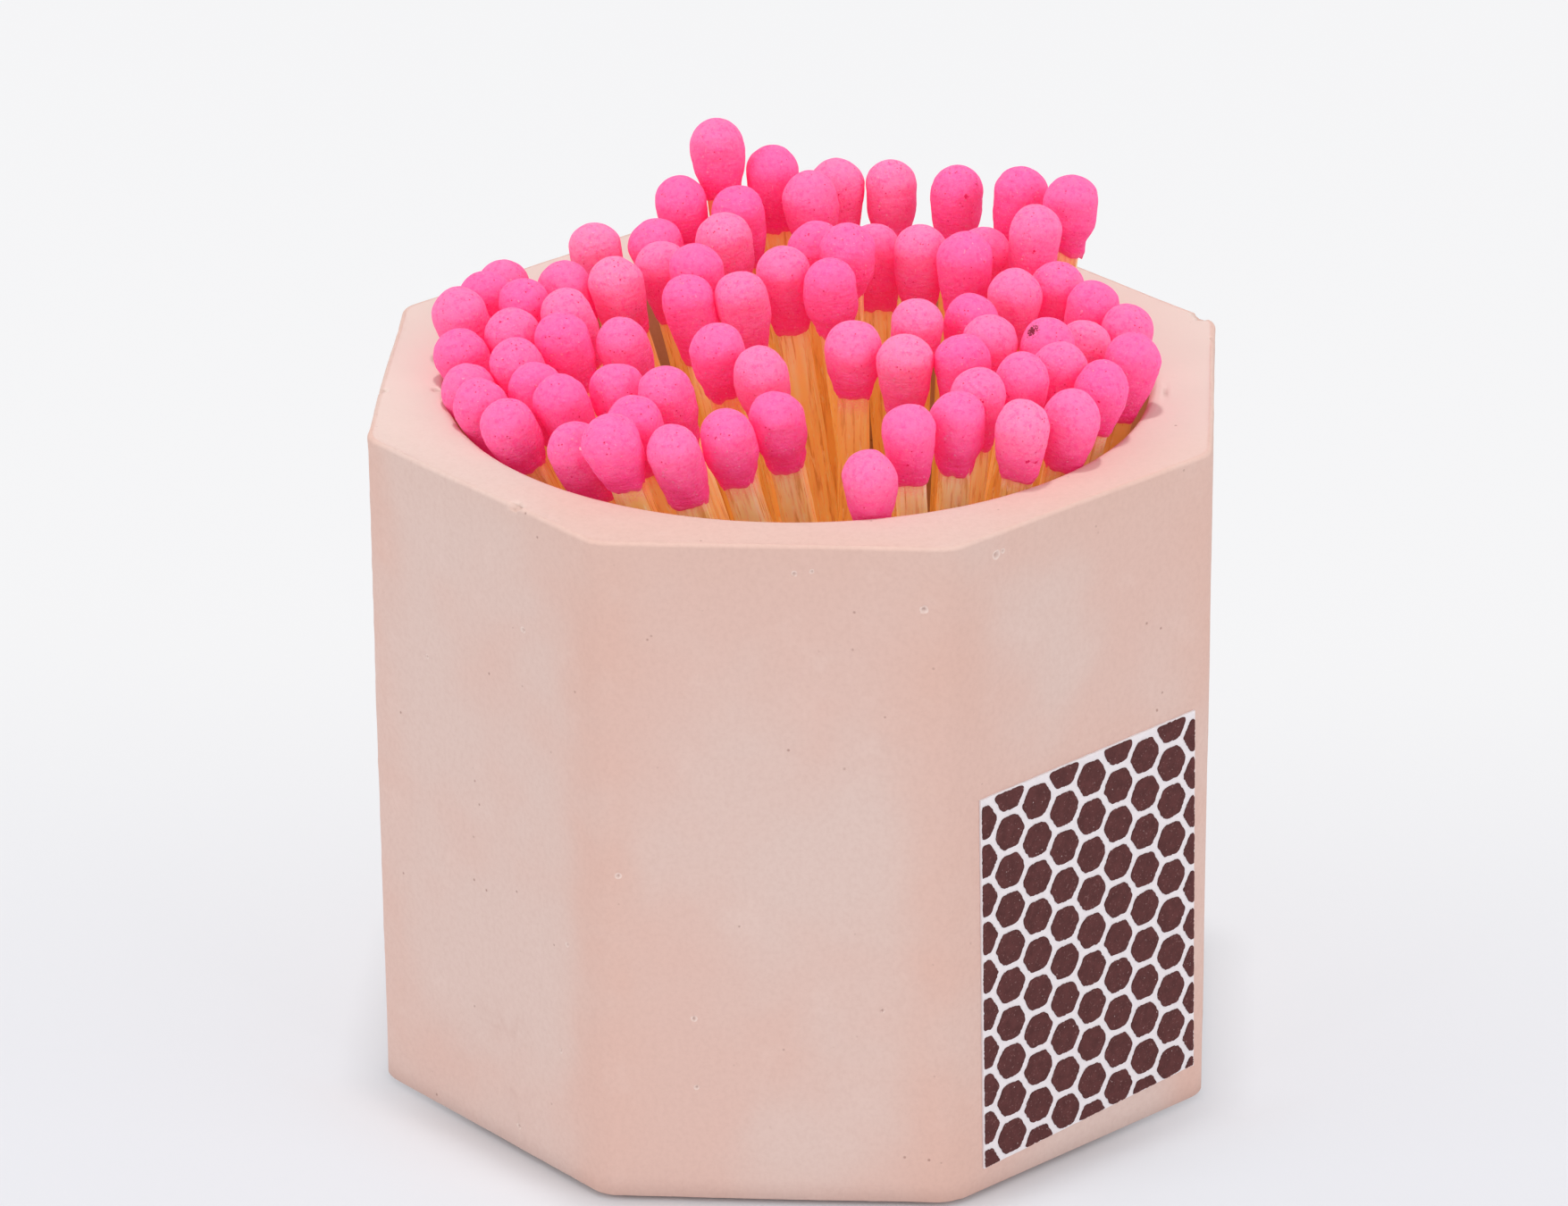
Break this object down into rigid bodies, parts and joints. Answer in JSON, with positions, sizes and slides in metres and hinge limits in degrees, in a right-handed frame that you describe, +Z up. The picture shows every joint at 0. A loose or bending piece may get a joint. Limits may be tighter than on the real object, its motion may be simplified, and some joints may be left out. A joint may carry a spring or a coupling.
{
  "type": "match holder",
  "caption": "Cast concrete octagonal cup with a round bore, filled with fanned-out wooden safety matches, and a honeycomb striking label on one side.",
  "frame": {"origin": "centre of the cup's underside, on the surface that it stands on", "axes": "+Z up along the bore, -Y out of the front flat of the octagon, +X to the right; the striking label is on the flat between +X and -Y"},
  "size_m": [0.06, 0.06, 0.0627],
  "materials": {
    "concrete": "matte",
    "paper": "matte",
    "striker": "matte",
    "match_wood": "matte",
    "match_head": "matte"
  },
  "bodies": {
    "cup": {"cup": "concrete", "striker_paper": "paper", "striker_patches": "striker", "splints_back": "match_wood", "heads_back": "match_head", "splints_front": "match_wood", "heads_front": "match_head"},
    "match_01": {"splint_01": "match_wood", "head_01": "match_head"},
    "match_02": {"splint_02": "match_wood", "head_02": "match_head"},
    "match_03": {"splint_03": "match_wood", "head_03": "match_head"},
    "match_04": {"splint_04": "match_wood", "head_04": "match_head"},
    "match_05": {"splint_05": "match_wood", "head_05": "match_head"},
    "match_06": {"splint_06": "match_wood", "head_06": "match_head"},
    "match_07": {"splint_07": "match_wood", "head_07": "match_head"},
    "match_08": {"splint_08": "match_wood", "head_08": "match_head"},
    "match_09": {"splint_09": "match_wood", "head_09": "match_head"},
    "match_10": {"splint_10": "match_wood", "head_10": "match_head"},
    "match_11": {"splint_11": "match_wood", "head_11": "match_head"},
    "match_12": {"splint_12": "match_wood", "head_12": "match_head"},
    "match_13": {"splint_13": "match_wood", "head_13": "match_head"},
    "match_14": {"splint_14": "match_wood", "head_14": "match_head"},
    "match_15": {"splint_15": "match_wood", "head_15": "match_head"},
    "match_16": {"splint_16": "match_wood", "head_16": "match_head"},
    "match_17": {"splint_17": "match_wood", "head_17": "match_head"},
    "match_18": {"splint_18": "match_wood", "head_18": "match_head"},
    "match_19": {"splint_19": "match_wood", "head_19": "match_head"},
    "match_20": {"splint_20": "match_wood", "head_20": "match_head"},
    "match_21": {"splint_21": "match_wood", "head_21": "match_head"},
    "match_22": {"splint_22": "match_wood", "head_22": "match_head"},
    "match_23": {"splint_23": "match_wood", "head_23": "match_head"},
    "match_24": {"splint_24": "match_wood", "head_24": "match_head"},
    "match_25": {"splint_25": "match_wood", "head_25": "match_head"}
  },
  "joints": [
    {"name": "match_01_lift", "type": "slide", "parent": "cup", "child": "match_01", "axis": [-0.1104, 0.0445, 0.9929], "range_m": [0, 0.05]},
    {"name": "match_02_lift", "type": "slide", "parent": "cup", "child": "match_02", "axis": [-0.0144, 0.0603, 0.9981], "range_m": [0, 0.05]},
    {"name": "match_03_lift", "type": "slide", "parent": "cup", "child": "match_03", "axis": [-0.1686, 0.0196, 0.9855], "range_m": [0, 0.05]},
    {"name": "match_04_lift", "type": "slide", "parent": "cup", "child": "match_04", "axis": [-0.2666, 0.0097, 0.9638], "range_m": [0, 0.05]},
    {"name": "match_05_lift", "type": "slide", "parent": "cup", "child": "match_05", "axis": [-0.0941, -0.0373, 0.9949], "range_m": [0, 0.05]},
    {"name": "match_06_lift", "type": "slide", "parent": "cup", "child": "match_06", "axis": [0.1216, -0.0108, 0.9925], "range_m": [0, 0.05]},
    {"name": "match_07_lift", "type": "slide", "parent": "cup", "child": "match_07", "axis": [-0.0136, -0.0517, 0.9986], "range_m": [0, 0.05]},
    {"name": "match_08_lift", "type": "slide", "parent": "cup", "child": "match_08", "axis": [0.0979, -0.036, 0.9945], "range_m": [0, 0.05]},
    {"name": "match_09_lift", "type": "slide", "parent": "cup", "child": "match_09", "axis": [-0.2696, -0.0669, 0.9606], "range_m": [0, 0.05]},
    {"name": "match_10_lift", "type": "slide", "parent": "cup", "child": "match_10", "axis": [-0.1173, -0.0986, 0.9882], "range_m": [0, 0.05]},
    {"name": "match_11_lift", "type": "slide", "parent": "cup", "child": "match_11", "axis": [0.1073, -0.1166, 0.9874], "range_m": [0, 0.05]},
    {"name": "match_12_lift", "type": "slide", "parent": "cup", "child": "match_12", "axis": [-0.3358, -0.1116, 0.9353], "range_m": [0, 0.05]},
    {"name": "match_13_lift", "type": "slide", "parent": "cup", "child": "match_13", "axis": [0.0875, -0.1465, 0.9853], "range_m": [0, 0.05]},
    {"name": "match_14_lift", "type": "slide", "parent": "cup", "child": "match_14", "axis": [-0.3824, -0.1292, 0.9149], "range_m": [0, 0.05]},
    {"name": "match_15_lift", "type": "slide", "parent": "cup", "child": "match_15", "axis": [-0.3101, -0.1344, 0.9412], "range_m": [0, 0.05]},
    {"name": "match_16_lift", "type": "slide", "parent": "cup", "child": "match_16", "axis": [0.1452, -0.181, 0.9727], "range_m": [0, 0.05]},
    {"name": "match_17_lift", "type": "slide", "parent": "cup", "child": "match_17", "axis": [-0.3734, -0.138, 0.9174], "range_m": [0, 0.05]},
    {"name": "match_18_lift", "type": "slide", "parent": "cup", "child": "match_18", "axis": [0.0262, -0.2066, 0.9781], "range_m": [0, 0.05]},
    {"name": "match_19_lift", "type": "slide", "parent": "cup", "child": "match_19", "axis": [-0.4062, -0.189, 0.894], "range_m": [0, 0.05]},
    {"name": "match_20_lift", "type": "slide", "parent": "cup", "child": "match_20", "axis": [-0.1725, -0.1909, 0.9663], "range_m": [0, 0.05]},
    {"name": "match_21_lift", "type": "slide", "parent": "cup", "child": "match_21", "axis": [-0.3749, -0.2114, 0.9027], "range_m": [0, 0.05]},
    {"name": "match_22_lift", "type": "slide", "parent": "cup", "child": "match_22", "axis": [-0.1525, -0.2683, 0.9512], "range_m": [0, 0.05]},
    {"name": "match_23_lift", "type": "slide", "parent": "cup", "child": "match_23", "axis": [-0.3328, -0.2396, 0.9121], "range_m": [0, 0.05]},
    {"name": "match_24_lift", "type": "slide", "parent": "cup", "child": "match_24", "axis": [0.0482, -0.2422, 0.969], "range_m": [0, 0.05]},
    {"name": "match_25_lift", "type": "slide", "parent": "cup", "child": "match_25", "axis": [-0.2508, -0.2576, 0.9332], "range_m": [0, 0.05]}
  ]
}
